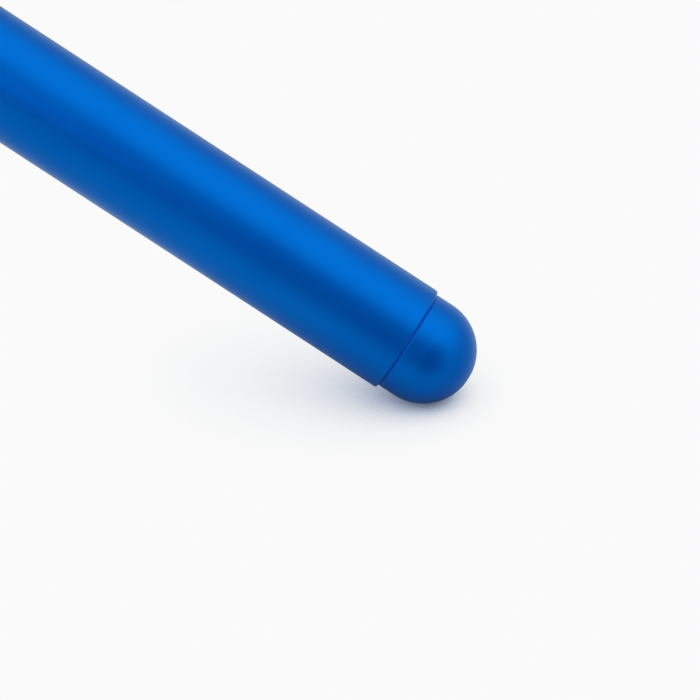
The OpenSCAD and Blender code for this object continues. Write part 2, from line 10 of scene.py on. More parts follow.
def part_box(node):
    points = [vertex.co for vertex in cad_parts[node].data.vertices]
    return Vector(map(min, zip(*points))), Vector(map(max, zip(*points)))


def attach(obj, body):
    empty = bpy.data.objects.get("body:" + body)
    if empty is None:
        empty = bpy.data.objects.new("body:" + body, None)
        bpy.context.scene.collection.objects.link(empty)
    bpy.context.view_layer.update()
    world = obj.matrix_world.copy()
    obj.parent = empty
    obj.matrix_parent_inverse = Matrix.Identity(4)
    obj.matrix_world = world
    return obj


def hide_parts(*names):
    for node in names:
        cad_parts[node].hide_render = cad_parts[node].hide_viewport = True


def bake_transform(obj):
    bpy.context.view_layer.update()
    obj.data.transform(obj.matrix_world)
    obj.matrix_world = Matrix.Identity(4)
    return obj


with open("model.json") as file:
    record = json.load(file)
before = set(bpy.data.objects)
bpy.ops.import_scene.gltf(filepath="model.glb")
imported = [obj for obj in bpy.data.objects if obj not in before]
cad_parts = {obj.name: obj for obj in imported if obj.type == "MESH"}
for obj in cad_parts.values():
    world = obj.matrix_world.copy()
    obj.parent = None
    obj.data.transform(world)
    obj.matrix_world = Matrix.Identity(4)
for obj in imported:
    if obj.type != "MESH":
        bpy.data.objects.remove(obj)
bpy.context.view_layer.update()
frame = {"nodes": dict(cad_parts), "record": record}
NODES = frame["nodes"]
SLOT_OF = {part["node"]: part["material_slot"] for part in frame["record"]["subparts"]}
BODY_OF = {node: body for body, members in frame["record"]["behaviour"]["bodies"].items() for node in members}

# ---------- places, in millimetres in the record's frame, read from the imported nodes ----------

MM = 0.001


def span(node, axis):
    """Lowest and highest coordinate of a CAD node along axis x, y or z, in millimetres."""
    index = "xyz".index(axis)
    low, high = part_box(node)
    return low[index] / MM, high[index] / MM


def middle(node):
    """Centre of a CAD node's box, in millimetres."""
    low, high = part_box(node)
    return (low + high) / 2 / MM


BARREL_R = span("rear_barrel", "z")[1] / 2
AXIS_Z = BARREL_R
TIP_X = span("nozzle", "x")[0]
DOME_X = -TIP_X
BARREL_END = span("rear_barrel", "x")[1]
PLUG_R = 8.45
DOME_CENTRE_X = DOME_X - PLUG_R
INLET_R = frame["record"]["mounts"][0]["dims"]["r_mm"]

# ---------- camera ----------

LENS = 327
SENSOR = 36
VIEW_WIDTH = 110.2 * MM
DOME_OFFSET = 0.1046
ELEVATION = math.radians(20)
RECEDE = math.radians(2.4)
SLOPE = math.radians(33.07)
FLOOR_ELEVATION = math.radians(33)
FLOOR_LEAN = 0.05
DOME_CENTRE = Vector((DOME_CENTRE_X, 0, AXIS_Z)) * MM


def camera_axes():
    """Right, up and back vectors of a camera that sees the pen run down to the right, its rear away."""
    azimuth = -math.asin(math.sin(RECEDE) / math.cos(ELEVATION))
    level = math.cos(ELEVATION)
    back = Vector((math.sin(azimuth) * level, -math.cos(azimuth) * level, math.sin(ELEVATION)))
    right = Vector((0, 0, 1)).cross(back).normalized()
    up = back.cross(right)
    pen = Vector((1, 0, 0))
    roll = math.atan2(pen.dot(up), pen.dot(right)) + SLOPE
    turned_right = right * math.cos(roll) + up * math.sin(roll)
    turned_up = up * math.cos(roll) - right * math.sin(roll)
    return turned_right, turned_up, back


RIGHT, UP, BACK = camera_axes()


def make_camera():
    distance = VIEW_WIDTH * LENS / SENSOR
    target = DOME_CENTRE - RIGHT * (DOME_OFFSET * VIEW_WIDTH)
    data = bpy.data.cameras.new("camera")
    data.lens = LENS
    data.sensor_width = SENSOR
    data.clip_start = 0.05
    data.clip_end = 20
    camera = bpy.data.objects.new("camera", data)
    bpy.context.scene.collection.objects.link(camera)
    axes = Matrix((RIGHT, UP, BACK)).transposed().to_4x4()
    camera.matrix_world = Matrix.Translation(target + BACK * distance) @ axes
    bpy.context.scene.camera = camera


make_camera()

# ---------- shader trees ----------


class Tree:
    """A short way to write shader nodes: each call makes one node, and links or sets its inputs."""

    def __init__(self, owner):
        owner.use_nodes = True
        self.tree = owner.node_tree

    def set(self, node, name, value):
        key = int(name[1:]) if name[0] == "i" and name[1:].isdigit() else name.replace("_", " ")
        socket = node.inputs[key]
        if isinstance(value, bpy.types.NodeSocket):
            self.tree.links.new(value, socket)
        else:
            socket.default_value = value

    def add(self, kind, settings=None, **inputs):
        node = self.tree.nodes.new(kind)
        for name, value in (settings or {}).items():
            setattr(node, name, value)
        for name, value in inputs.items():
            self.set(node, name, value)
        return node

    def math(self, operation, a, b=0.0, clamp=False):
        return self.add("ShaderNodeMath", {"operation": operation, "use_clamp": clamp}, i0=a, i1=b).outputs[0]

    def vector(self, operation, a, b=(0, 0, 0)):
        return self.add("ShaderNodeVectorMath", {"operation": operation}, i0=a, i1=b)

    def ramp(self, value, low, high, to_low=0.0, to_high=1.0):
        """Smooth step from to_low to to_high while value goes from low to high."""
        node = self.add("ShaderNodeMapRange", {"interpolation_type": "SMOOTHSTEP"}, Value=value, From_Min=low,
                        From_Max=high, To_Min=to_low, To_Max=to_high)
        return node.outputs[0]

    def mix(self, factor, a, b, blend="MIX"):
        settings = {"data_type": "RGBA", "blend_type": blend}
        return self.add("ShaderNodeMix", settings, i0=factor, i6=a, i7=b).outputs[2]

    def noise(self, place, scale, detail=3.0, stretch=(1, 1, 1)):
        place = self.vector("MULTIPLY", place, stretch).outputs[0]
        return self.add("ShaderNodeTexNoise", Vector=place, Scale=scale, Detail=detail).outputs[0]


# ---------- studio ----------

PALE = (0.955, 0.955, 0.955, 1)
TENT = (0.58, 0.575, 0.605, 1)
TENT_ABOVE = (1.08, 1.08, 1.08, 1)
TENT_BELOW = (0.66, 0.66, 0.64, 1)
TENT_BACKDROP = (1.0, 0.88, 0.82, 1)
TENT_BEHIND_CAMERA = (0.19, 0.19, 0.30, 1)


def toward(degrees):
    """Direction at an angle from the camera's line of sight, turned across the pen, upwards if positive."""
    across = UP * math.cos(SLOPE) + RIGHT * math.sin(SLOPE)
    angle = math.radians(degrees)
    return BACK * math.cos(angle) + across * math.sin(angle)


def make_world():
    """A pale light tent: bright above the pen, warm at its backdrop and darkest behind the camera."""
    world = bpy.data.worlds.new("light_tent")
    t = Tree(world)
    direction = t.add("ShaderNodeTexCoord").outputs["Generated"]

    def lobe(degrees, low, high, aft=0.0):
        centre = (toward(degrees) + Vector((aft, 0, 0))).normalized()
        along = t.vector("DOT_PRODUCT", direction, tuple(centre)).outputs["Value"]
        return t.ramp(along, low, high)

    tent = t.mix(lobe(180, 0.45, 0.9), TENT, TENT_BACKDROP)
    tent = t.mix(lobe(-80, 0.0, 0.9), tent, TENT_BELOW)
    tent = t.mix(lobe(48, 0.40, 0.97), tent, TENT_ABOVE)
    tent = t.mix(lobe(-9, 0.69, 0.975, aft=0.3), tent, TENT_BEHIND_CAMERA)
    seen = t.add("ShaderNodeLightPath").outputs["Is Camera Ray"]
    t.set(t.tree.nodes["Background"], "Color", t.mix(seen, tent, PALE))
    bpy.context.scene.world = world


def make_softbox():
    """A close softbox towards the nozzle, so that the barrel darkens a little towards its dome."""
    distance = 280 * MM
    forward = 190 * MM
    data = bpy.data.lights.new("softbox", "AREA")
    data.shape = "DISK"
    data.size = 240 * MM
    data.energy = 0.12
    data.color = (0.8, 0.9, 1.0)
    softbox = bpy.data.objects.new("softbox", data)
    softbox.visible_camera = False
    bpy.context.scene.collection.objects.link(softbox)
    away = toward(-8)
    place = DOME_CENTRE + away * distance - Vector((forward, 0, 0))
    softbox.matrix_world = Matrix.Translation(place) @ away.to_track_quat("Z", "Y").to_matrix().to_4x4()


def make_floor():
    """A pale floor under the dome, with a painted shadow: ambient occlusion darkens its see-through colour,
    so it shows only where the pen shades it.
    """
    radius = 75 * MM
    shade_reach = 28 * MM
    strength = 1.75
    falloff_in_glints, falloff_seen = 1.2, 2.7
    half_shade, full_shade = (0.40, 0.47, 0.61, 1), (0.10, 0.13, 0.20, 1)
    facing = UP * math.cos(FLOOR_ELEVATION) + BACK * math.sin(FLOOR_ELEVATION)
    normal = (facing - RIGHT * FLOOR_LEAN).normalized()
    contact = DOME_CENTRE - normal * (PLUG_R * MM)
    form = bmesh.new()
    bmesh.ops.create_circle(form, cap_ends=True, segments=96, radius=radius)
    mesh = bpy.data.meshes.new("floor")
    form.to_mesh(mesh)
    form.free()
    floor = bpy.data.objects.new("floor", mesh)
    bpy.context.scene.collection.objects.link(floor)
    floor.matrix_world = Matrix.Translation(contact) @ normal.to_track_quat("Z", "Y").to_matrix().to_4x4()
    material = bpy.data.materials.new("floor")
    t = Tree(material)
    t.tree.nodes.remove(t.tree.nodes["Principled BSDF"])
    place = t.add("ShaderNodeTexCoord").outputs["Object"]
    fade = t.ramp(t.vector("LENGTH", place).outputs["Value"], 0.55 * radius, 0.95 * radius, 1, 0)
    front = t.math("SUBTRACT", 1.0, t.add("ShaderNodeNewGeometry").outputs["Backfacing"])
    # painted shadow: the less open sky a floor point has within reach, the darker its colour, and darker
    # still in reflections than to the camera
    open_sky = t.add("ShaderNodeAmbientOcclusion", {"samples": 12}, Distance=shade_reach).outputs["AO"]
    seen = t.add("ShaderNodeLightPath").outputs["Is Camera Ray"]
    falloff = t.ramp(seen, 0, 1, falloff_in_glints, falloff_seen)
    hidden_sky = t.math("POWER", t.math("SUBTRACT", 1.0, open_sky), falloff)
    depth = t.math("MULTIPLY", hidden_sky, strength, clamp=True)
    shade = t.math("MULTIPLY", depth, t.math("MULTIPLY", fade, front))
    tint = t.add("ShaderNodeValToRGB", Fac=shade)
    stops = tint.color_ramp.elements
    stops[0].color = (1, 1, 1, 1)
    stops[1].color = full_shade
    stops.new(0.6).color = half_shade
    see_through = t.add("ShaderNodeBsdfTransparent", Color=tint.outputs[0])
    t.set(t.tree.nodes["Material Output"], "Surface", see_through.outputs[0])
    mesh.materials.append(material)


make_world()
make_softbox()
make_floor()
bpy.context.scene.view_settings.view_transform = "Standard"

# ---------- materials, one for each slot of the record ----------

MATERIALS = {}
LENGTHWISE = (0.03, 1, 1)
ROUND_THE_AXIS = (1, 0.03, 0.03)


def material(name, **fixed):
    """A new material, its shader tree, its Principled shader and its place coordinates."""
    made = bpy.data.materials.new(name)
    t = Tree(made)
    shader = t.tree.nodes["Principled BSDF"]
    for socket, value in fixed.items():
        t.set(shader, socket, value)
    MATERIALS[name] = made
    return t, shader, t.add("ShaderNodeTexCoord").outputs["Object"]


def finish_surface(t, shader, colour, roughness, height, depth):
    """Joins colour, roughness and a bump of the given depth in metres to the shader."""
    t.set(shader, "Base Color", colour)
    t.set(shader, "Roughness", roughness)
    t.set(shader, "Normal", t.add("ShaderNodeBump", Height=height, Strength=0.6, Distance=depth).outputs[0])


def grained(name, colours, roughness, grain=4000.0, depth=4e-6, cloud=90.0, stretch=(1, 1, 1), **fixed):
    """A surface with cloudy colour between two tones and an even or stretched fine grain."""
    t, shader, place = material(name, **fixed)
    tone = t.ramp(t.noise(place, cloud), 0.35, 0.65)
    fine = t.noise(place, grain, 2.0, stretch)
    finish_surface(t, shader, t.mix(tone, *colours), t.ramp(fine, 0.25, 0.75, *roughness), fine, depth)


def blasted_metal(name, colours, roughness, edge):
    """Bead-blasted metal: a fine, even grain. The edge tint holds back the grey of a grazing view."""
    grained(name, colours, roughness, grain=6500.0, depth=2e-6, Metallic=1, Specular_Tint=edge)


def tool_marked_metal(name, colours, roughness, stretch):
    """Machined or drawn metal with fine parallel marks, and slightly duller patches."""
    grained(name, colours, roughness, grain=5200.0, depth=3e-6, cloud=260.0, stretch=stretch, Metallic=1)


def braided_sleeve(name, light, dark):
    """Woven glass fibre: two crossing helices of yarn round the pen's axis, with painted shade between the
    yarns.
    """
    yarns_along, yarns_round = 4200.0, 14.0
    t, shader, place = material(name, Sheen_Weight=0.2, Sheen_Roughness=0.5)
    parts = t.add("ShaderNodeSeparateXYZ", i0=place)
    height = t.math("SUBTRACT", parts.outputs["Z"], AXIS_Z * MM)
    turn = t.math("ARCTAN2", height, parts.outputs["Y"])
    along = t.math("MULTIPLY", parts.outputs["X"], yarns_along)
    yarns = t.math("MULTIPLY", turn, yarns_round)
    right = t.math("SINE", t.math("ADD", along, yarns))
    left = t.math("SINE", t.math("SUBTRACT", along, yarns))
    weave = t.ramp(t.math("MAXIMUM", right, left), -0.2, 1.0)
    # painted shade: the weave's low parts between the yarns take the dark colour
    finish_surface(t, shader, t.mix(weave, dark, light), t.ramp(weave, 0, 1, 0.95, 0.75), weave, 6e-5)


def circuit(name, mask, trace, pad):
    """Green solder mask over bundles of tracks that jog aside together, with a scatter of tinned vias."""
    track_pitch, jog_length, jog_depth = 0.22 * MM, 3.4 * MM, 1.1 * MM
    t, shader, place = material(name, Coat_Weight=0.4, Coat_Roughness=0.15)
    flat = t.vector("MULTIPLY", place, (1, 1, 0)).outputs[0]
    parts = t.add("ShaderNodeSeparateXYZ", i0=place)
    jog = t.math("MINIMUM", t.math("PINGPONG", parts.outputs["X"], jog_length), jog_depth)
    from_track = t.math("PINGPONG", t.math("ADD", parts.outputs["Y"], jog), track_pitch)
    squares = {"distance": "CHEBYCHEV"}
    patches = t.add("ShaderNodeTexVoronoi", squares, Vector=flat, Scale=260.0, Randomness=0.7)
    routed = t.ramp(patches.outputs["Color"], 0.40, 0.42)
    track = t.math("MULTIPLY", t.ramp(from_track, 0.05 * MM, 0.08 * MM, 1, 0), routed)
    dots = t.add("ShaderNodeTexVoronoi", Vector=flat, Scale=420.0, Randomness=0.6)
    via = t.ramp(dots.outputs["Distance"], 0.06, 0.08, 1, 0)
    t.set(shader, "Metallic", via)
    colour = t.mix(via, t.mix(track, mask, trace), pad)
    finish_surface(t, shader, colour, t.ramp(via, 0, 1, 0.42, 0.3), t.math("ADD", track, via), 1.2e-5)


def wound_copper(name, bright, shade):
    """Enamelled copper wire laid side by side along the motor's axis, with a painted highlight on each turn
    and painted shade between the turns.
    """
    t, shader, place = material(name, Metallic=1, Coat_Weight=0.5, Coat_Roughness=0.1)
    bands = {"wave_type": "BANDS", "bands_direction": "Z", "wave_profile": "SIN"}
    wire = t.add("ShaderNodeTexWave", bands, Vector=place, Scale=1100.0, Distortion=0.6).outputs["Fac"]
    # painted highlight on the wire crests and painted shade between the turns, from the same bands as the
    # bump
    finish_surface(t, shader, t.mix(wire, shade, bright), t.ramp(wire, 0, 1, 0.4, 0.25), wire, 3e-5)


def heat_shrink(name, colour, deep):
    """Shrunk film on the cell: glossy, with faint wrinkles whose hollows are painted darker as shade, and a
    lengthwise lap.
    """
    t, shader, place = material(name, Coat_Weight=0.7, Coat_Roughness=0.08)
    wrinkle = t.noise(place, 500.0, 4.0, (0.25, 1, 1))
    parts = t.add("ShaderNodeSeparateXYZ", i0=place)
    lap = t.ramp(parts.outputs["Y"], -0.6 * MM, -0.5 * MM)
    height = t.math("ADD", t.math("MULTIPLY", wrinkle, 0.35), t.math("MULTIPLY", lap, 0.5))
    roughness = t.ramp(wrinkle, 0.3, 0.7, 0.3, 0.42)
    # painted shade: the wrinkles' hollows take the deeper colour
    finish_surface(t, shader, t.mix(wrinkle, deep, colour), roughness, height, 4e-5)


def heated_brass(name):
    """Machined brass, browned near the hot tip."""
    browned, clean = (0.33, 0.17, 0.06, 1), (0.80, 0.57, 0.24, 1)
    t, shader, place = material(name, Metallic=1)
    rings = t.noise(place, 5200.0, 2.0, ROUND_THE_AXIS)
    x = t.add("ShaderNodeSeparateXYZ", i0=place).outputs["X"]
    uneven = t.math("ADD", x, t.math("MULTIPLY", t.noise(place, 700.0), 2.5 * MM))
    cool = t.ramp(uneven, (TIP_X + 0.5) * MM, (TIP_X + 6.0) * MM)
    finish_surface(t, shader, t.mix(cool, browned, clean), t.ramp(rings, 0.25, 0.75, 0.22, 0.38), rings, 3e-6)


def make_materials():
    blasted_metal("anodised_blue", ((0.0006, 0.163, 0.67, 1), (0.0006, 0.155, 0.65, 1)), (0.37, 0.43),
                  edge=(0.88, 0.97, 0.78, 1))
    grained("black_plastic", ((0.016, 0.016, 0.018, 1), (0.022, 0.022, 0.024, 1)), (0.42, 0.58), grain=3200.0,
            depth=1.2e-5)
    grained("dark_plastic", ((0.024, 0.025, 0.028, 1), (0.036, 0.037, 0.041, 1)), (0.35, 0.5), grain=5200.0)
    grained("frame_plastic", ((0.045, 0.048, 0.055, 1), (0.06, 0.063, 0.07, 1)), (0.5, 0.65), grain=2600.0,
            depth=1.2e-5)
    blasted_metal("satin_aluminium", ((0.72, 0.73, 0.75, 1), (0.66, 0.67, 0.69, 1)), (0.26, 0.38),
                  edge=(1, 1, 1, 1))
    tool_marked_metal("button_metal", ((0.62, 0.63, 0.65, 1), (0.56, 0.57, 0.59, 1)), (0.24, 0.4), LENGTHWISE)
    tool_marked_metal("steel", ((0.58, 0.57, 0.55, 1), (0.50, 0.49, 0.48, 1)), (0.2, 0.36), ROUND_THE_AXIS)
    heated_brass("brass")
    tool_marked_metal("bronze", ((0.52, 0.30, 0.13, 1), (0.42, 0.23, 0.10, 1)), (0.35, 0.55), ROUND_THE_AXIS)
    wound_copper("copper_winding", (0.86, 0.40, 0.20, 1), (0.35, 0.13, 0.06, 1))
    grained("white_ceramic", ((0.86, 0.84, 0.79, 1), (0.80, 0.77, 0.71, 1)), (0.38, 0.55), grain=2400.0,
            depth=8e-6, Subsurface_Weight=0.1, Subsurface_Scale=0.001)
    grained("thermistor_glass", ((0.42, 0.20, 0.10, 1), (0.30, 0.13, 0.06, 1)), (0.05, 0.12), cloud=1500.0,
            Coat_Weight=0.8, Coat_Roughness=0.05)
    braided_sleeve("fibre_sleeve", (0.72, 0.64, 0.48, 1), (0.42, 0.35, 0.22, 1))
    grained("white_lead", ((0.80, 0.79, 0.75, 1), (0.72, 0.70, 0.66, 1)), (0.4, 0.55), depth=6e-6)
    grained("red_lead", ((0.55, 0.022, 0.018, 1), (0.42, 0.016, 0.014, 1)), (0.32, 0.45), depth=5e-6)
    grained("ptfe", ((0.86, 0.87, 0.86, 1), (0.80, 0.81, 0.81, 1)), (0.3, 0.42), grain=2600.0,
            Subsurface_Weight=0.3, Subsurface_Scale=0.001)
    grained("light_diffuser", ((0.92, 0.95, 0.97, 1), (0.84, 0.89, 0.93, 1)), (0.16, 0.3), grain=2600.0,
            Subsurface_Weight=0.4, Subsurface_Scale=0.0008)
    circuit("circuit_board", (0.010, 0.10, 0.045, 1), (0.016, 0.16, 0.07, 1), (0.78, 0.76, 0.70, 1))
    heat_shrink("cell_wrap", (0.05, 0.20, 0.46, 1), (0.03, 0.13, 0.33, 1))
    grained("black_rubber", ((0.012, 0.012, 0.013, 1), (0.02, 0.02, 0.02, 1)), (0.55, 0.75), grain=1800.0,
            depth=1e-5)


make_materials()
for name, node in NODES.items():
    node.data.materials.clear()
    node.data.materials.append(MATERIALS[SLOT_OF[name]])


# ---------- mesh building, in millimetres in the record's frame ----------

TURN = 2 * math.pi
SHARP_ANGLE = math.radians(38)
FINE = 0.001


def pen(x, y=0.0, z=0.0):
    """A point from its distance behind the nozzle's tip and its offsets from the pen's axis."""
    return Vector((x + TIP_X, y, z + AXIS_Z))


def wrapped(u, v, w):
    """A point at x = u, v degrees round from the top of the pen and w from its axis."""
    angle = math.radians(v)
    return Vector((u, w * math.sin(angle), AXIS_Z + w * math.cos(angle)))


def upright(centre):
    """Lays (u, v, w) as x, y, z about a point."""
    return lambda u, v, w: centre + Vector((u, v, w))


def sideways(centre):
    """Lays (u, v, w) as x, z and y about a point, so that w runs along Y."""
    return lambda u, v, w: centre + Vector((u, w, v))


def lengthways(centre):
    """Lays (u, v, w) as y, z and x about a point, so that w runs along X."""
    return lambda u, v, w: centre + Vector((w, u, v))


def fillet(points, radius, closed=True, steps=4):
    """Rounds the corners of an outline, apart from the two ends of an open one."""
    points = [Vector(point) for point in points]
    rounded = []
    for i, point in enumerate(points):
        end = not closed and i in (0, len(points) - 1)
        before = points[i - 1] - point
        after = points[(i + 1) % len(points)] - point
        angle = math.pi if end else before.angle(after)
        if angle > math.radians(165):
            rounded.append(point)
            continue
        reach = min(radius / math.tan(angle / 2), 0.45 * before.length, 0.45 * after.length)
        start = point + before.normalized() * reach
        stop = point + after.normalized() * reach
        for step in range(steps + 1):
            t = step / steps
            rounded.append(start.lerp(point, t).lerp(point.lerp(stop, t), t))
    return rounded


def arc(x, r, radius, first, last, steps):
    """Points along an arc about (x, r), from the first to the last angle in degrees."""
    angles = [math.radians(first + (last - first) * i / steps) for i in range(steps + 1)]
    return [(x + radius * math.cos(a), r + radius * math.sin(a)) for a in angles]


def stadium(long, wide, count=64):
    """Outline of a slot with round ends."""
    points = []
    for i in range(count):
        angle = TURN * (i + 0.5) / count
        end = math.copysign((long - wide) / 2, math.cos(angle))
        points.append(Vector((end + wide / 2 * math.cos(angle), wide / 2 * math.sin(angle))))
    return points


def box_outline(long, wide):
    return [Vector((u * long / 2, v * wide / 2)) for u, v in ((-1, -1), (1, -1), (1, 1), (-1, 1))]


def inset(outline, depth):
    """Moves the edges of a counter-clockwise outline inwards."""
    moved = []
    for i, point in enumerate(outline):
        before = (point - outline[i - 1]).normalized()
        after = (outline[(i + 1) % len(outline)] - point).normalized()
        bisector = Vector((-before.y - after.y, before.x + after.x))
        moved.append(point + bisector * (depth / (1 + before.dot(after))))
    return moved


def smooth_path(points, steps=8):
    """A curve through the points, by Catmull-Rom interpolation."""
    points = [Vector(point) for point in points]
    path = []
    for i in range(len(points) - 1):
        a, b, c, d = (points[max(0, min(len(points) - 1, i + k))] for k in (-1, 0, 1, 2))
        for step in range(steps):
            t = step / steps
            bend = (c - a) * t + (2 * a - 5 * b + 4 * c - d) * t ** 2 + (3 * b - a - 3 * c + d) * t ** 3
            path.append(b + bend / 2)
    return path + [points[-1]]


class Form:
    """The skin of one piece, laid as rings of points that quads join."""

    def __init__(self):
        self.mesh = bmesh.new()

    def skin(self, rings, loop=False, capped=True):
        """Joins each ring to the next. A loop also joins the last to the first, and open ends are capped."""
        laid = [[self.mesh.verts.new(Vector(point) * MM) for point in ring] for ring in rings]
        pairs = list(zip(laid, laid[1:]))
        if loop:
            pairs.append((laid[-1], laid[0]))
        for first, second in pairs:
            for i in range(len(first)):
                j = (i + 1) % len(first)
                self.mesh.faces.new((first[i], first[j], second[j], second[i]))
        for ring in (laid[0], laid[-1]):
            if capped and not loop and (ring[0].co - ring[len(ring) // 2].co).length > FINE * MM:
                self.mesh.faces.new(ring)
        return self

    def lathe(self, profile, y=0.0, z=AXIS_Z, steps=96):
        """Turns (x, radius) points about a line along X. A profile that never meets it closes on itself."""
        angles = [TURN * k / steps for k in range(steps)]
        rings = [[(x, y + r * math.cos(a), z + r * math.sin(a)) for a in angles] for x, r in profile]
        return self.skin(rings, loop=min(r for x, r in profile) > 0)

    def prism(self, outline, low, high, place, bevel=0.0, steps=3):
        """Extrudes a counter-clockwise outline from w = low to high, with rounded rims."""
        quarter = [math.pi / 2 * i / steps for i in range(steps + 1)] if bevel else [math.pi / 2]
        rim = [(bevel * (1 - math.cos(a)), bevel * (1 - math.sin(a))) for a in quarter]
        levels = [(low + (rise if bevel else 0), pull) for rise, pull in rim]
        levels += [(high - (rise if bevel else 0), pull) for rise, pull in reversed(rim)]
        return self.skin([[place(p.x, p.y, w) for p in inset(outline, pull)] for w, pull in levels])

    def pipe(self, path, radius, sides=16, bore=0.0):
        """Sweeps a round wire, or a tube with a bore, along a path without twist."""
        side = Vector((0, 1, 0))
        wall, hollow = [], []
        for i, point in enumerate(path):
            along = (path[min(i + 1, len(path) - 1)] - path[max(i - 1, 0)]).normalized()
            side = (side - along * side.dot(along)).normalized()
            up = along.cross(side)
            angles = [TURN * k / sides for k in range(sides)]
            spokes = [side * math.cos(a) + up * math.sin(a) for a in angles]
            wall.append([point + spoke * radius for spoke in spokes])
            hollow.append([point + spoke * bore for spoke in spokes])
        return self.skin(wall + hollow[::-1], loop=True) if bore else self.skin(wall)

    def block(self, centre, size, bevel=0.05):
        """A box with rounded corners and slightly finer rims."""
        long, wide, tall = size
        outline = fillet(box_outline(long, wide), bevel, steps=2)
        return self.prism(outline, -tall / 2, tall / 2, upright(Vector(centre)), bevel * 0.7, steps=2)


def piece(name, form, slot, body, *replaced):
    """Makes a form into an object that rides on a body, if one is given, in place of the replaced nodes."""
    bmesh.ops.remove_doubles(form.mesh, verts=form.mesh.verts, dist=FINE * MM / 10)
    bmesh.ops.recalc_face_normals(form.mesh, faces=form.mesh.faces)
    mesh = bpy.data.meshes.new(name)
    form.mesh.to_mesh(mesh)
    form.mesh.free()
    mesh.shade_smooth()
    mesh.set_sharp_from_angle(angle=SHARP_ANGLE)
    mesh.materials.append(MATERIALS[slot])
    made = bpy.data.objects.new(name, mesh)
    bpy.context.scene.collection.objects.link(made)
    if body:
        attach(made, body)
    if replaced:
        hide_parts(*replaced)
    return made


# ---------- casing ----------


def make_dome_plug():
    """Plug with a collar, a hemispherical dome and a countersunk filament inlet."""
    front = span("end_plug", "x")[0]
    seat = span("guide_tube", "x")[1] + 0.1
    tube_r, cavity_r, cavity_end_r, fit_r = 1.53, 6.4, 5, 7.97
    cavity_end = seat - 3.1
    groove_start, groove_end, groove_r = front + 1.8, front + 3.1, 7.3
    sink, rim_drop = 0.28, 0.1
    rim_r = INLET_R + sink
    rim_angle = math.degrees(math.asin(rim_r / PLUG_R))
    step_in, step_long = 0.1, 0.3
    neck = [(front, cavity_r), (front, fit_r), (groove_start, fit_r), (groove_start, groove_r),
            (groove_end, groove_r), (groove_end, fit_r), (BARREL_END, fit_r)]
    collar = [(BARREL_END, PLUG_R - step_in), (BARREL_END + step_long, PLUG_R), (DOME_CENTRE_X, PLUG_R)]
    dome = arc(DOME_CENTRE_X, 0, PLUG_R, 89, rim_angle, 72)
    inlet = [dome[-1], (DOME_X - rim_drop, rim_r - rim_drop), (DOME_X - sink - rim_drop, INLET_R),
             (seat, INLET_R)]
    inside = [(seat, tube_r), (cavity_end, tube_r), (cavity_end, cavity_end_r), (BARREL_END, cavity_r)]
    profile = fillet(neck, 0.12, closed=False) + fillet(collar, 0.3, closed=False) + dome
    profile += fillet(inlet, 0.08, closed=False)[1:] + inside
    piece("dome_plug", Form().lathe(profile, steps=160), "anodised_blue", "pen_body", "end_plug")


def make_nose():
    """Vented nose cone: eight equal sectors, each with a slot whose rims are rounded."""
    start, end = TIP_X + 14, TIP_X + 39
    tail_end = TIP_X + 43
    front_r, rear_r = 5.3, BARREL_R - 0.15
    wall = 1.5
    fit_r, sink_r, bore_r = 7.97, 7.0, 4.38
    sectors = 8
    half_x, half_turn = (end - start) / 2, 180 / sectors
    vent_x, vent_half, vent_w = TIP_X + 31, 5.0, 1.5
    centre_x = (start + end) / 2
    lengthwise, across, spread = 40, 12, 10
    vent_r = 7.9
    vent_turn = math.degrees(vent_w / 2 / vent_r)
    rim, chamfer = 0.28, 0.2

    def outer(x):
        return front_r + (rear_r - front_r) * math.sin(math.pi / 2 * (x - start) / (end - start))

    def inner(x):
        return max(bore_r, outer(x) - wall)

    def whole(half):
        return half + [-point for point in half]

    def sector_edge():
        top = [Vector((half_x * (2 * i / lengthwise - 1), half_turn)) for i in range(lengthwise)]
        side = [Vector((half_x, half_turn * (1 - 2 * i / across))) for i in range(across)]
        return whole(top + side)

    def vent_edge(grow):
        """The slot's outline: its ends are ellipses, because it lies in millimetres by degrees."""
        radius = vent_w / 2 + grow
        straight = vent_half - vent_w / 2
        scale = vent_turn / (vent_w / 2)
        run = radius * math.pi / 4
        length = 2 * straight + 2 * run
        top = []
        for i in range(lengthwise):
            s = length * i / lengthwise
            bend = 135 - 45 * s / run if s < run else 90 - 45 * max(0.0, s - run - 2 * straight) / run
            u = min(max(s - run, 0.0), 2 * straight) - straight
            a = math.radians(bend)
            top.append(Vector((u + radius * math.cos(a), radius * math.sin(a) * scale)))
        ends = [math.radians(45 - 90 * i / across) for i in range(across)]
        side = [Vector((straight + radius * math.cos(a), radius * math.sin(a) * scale)) for a in ends]
        return whole(top + side)

    def placed(x, outline):
        return [Vector((x, 0)) + point for point in outline]

    def laid(ring, turn, radius, drop=0.0):
        return [wrapped(p.x, p.y + turn, radius(p.x) - drop) for p in ring]

    def hoop(x, r):
        steps = sectors * across
        return [wrapped(x, 360 * k / steps, r) for k in range(steps)]

    frame_edge = placed(centre_x, sector_edge())
    mouth, lip, throat = (placed(vent_x, vent_edge(grow)) for grow in (rim, rim * 0.3, 0.0))
    sheet = [[a.lerp(b, j / spread) for a, b in zip(frame_edge, mouth)] for j in range(spread + 1)]
    rims = [(lip, rim * 0.3), (throat, rim)]
    form = Form()
    for sector in range(sectors):
        turn = half_turn * (2 * sector + 1)
        rings = [laid(ring, turn, outer) for ring in sheet]
        rings += [laid(ring, turn, outer, drop) for ring, drop in rims]
        rings += [laid(ring, turn, inner, -drop) for ring, drop in reversed(rims)]
        rings += [laid(ring, turn, inner) for ring in reversed(sheet)]
        form.skin(rings, capped=False)
    form.skin([hoop(start, outer(start)), hoop(start, inner(start))], capped=False)
    tail = [(end, outer(end)), (end, fit_r), (tail_end - chamfer, fit_r), (tail_end, fit_r - chamfer),
            (tail_end, sink_r), (end, sink_r), (end, inner(end))]
    form.skin([hoop(x, r) for x, r in tail], capped=False)
    piece("vented_nose", form, "black_plastic", "pen_body", "nose_cone")


